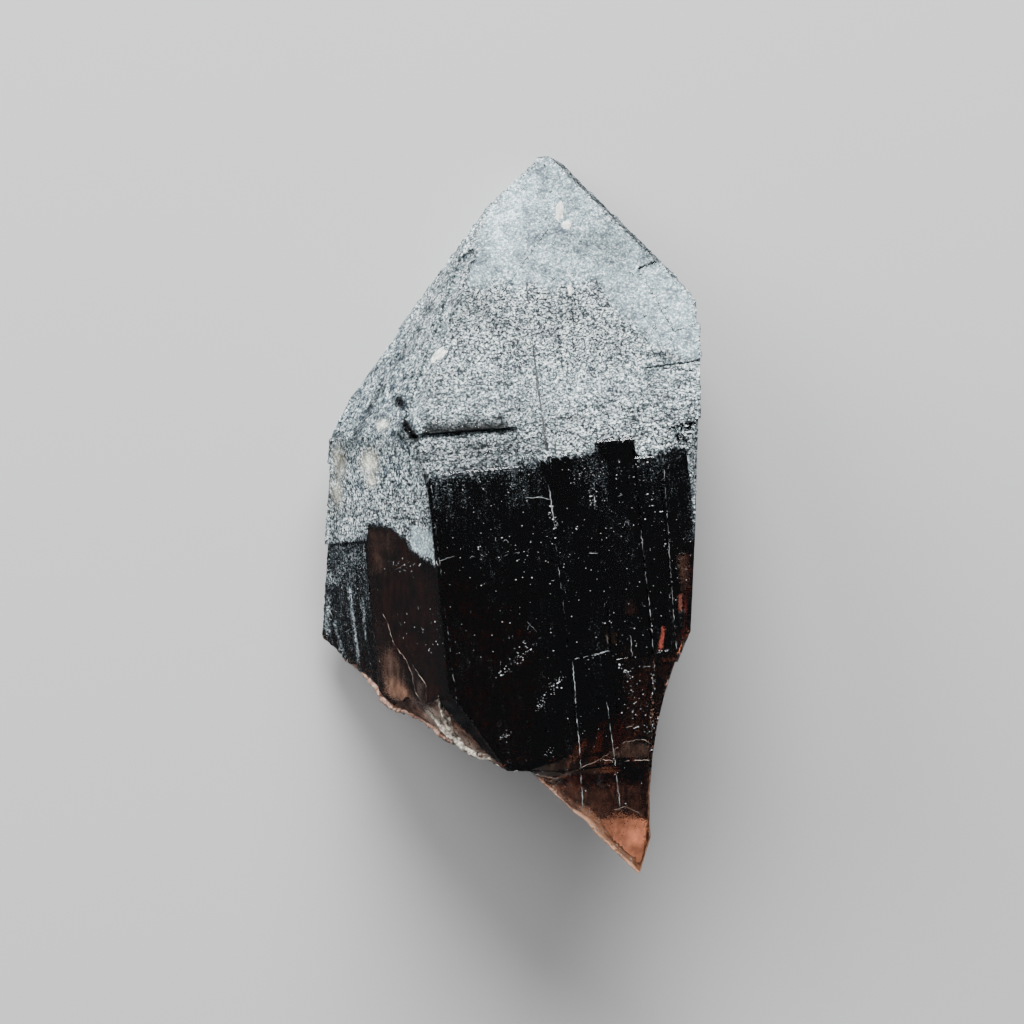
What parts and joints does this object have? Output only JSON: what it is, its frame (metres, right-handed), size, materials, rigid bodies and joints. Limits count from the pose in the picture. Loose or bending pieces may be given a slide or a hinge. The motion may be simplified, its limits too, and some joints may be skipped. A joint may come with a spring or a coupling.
{
  "type": "smoky quartz crystal",
  "caption": "Smoky quartz crystal: a frosted natural point over a dark see-through prism, broken off in shell-shaped hollows at the lower end, lying on a flat prism face.",
  "frame": {"origin": "middle of the bounding box of the footprint, on the surface that the crystal rests on", "axes": "+Y along the long axis of the crystal towards its natural point, +Z out of the front prism face, +X to the right as the crystal is seen from above"},
  "size_m": [0.0408, 0.0724, 0.027],
  "materials": {
    "smoky_quartz": "natural crystal faces: frosted on the point, polished and finely striated on the prism, conchoidal on the break"
  },
  "bodies": {
    "root": {"crystal": "smoky_quartz"}
  },
  "joints": []
}
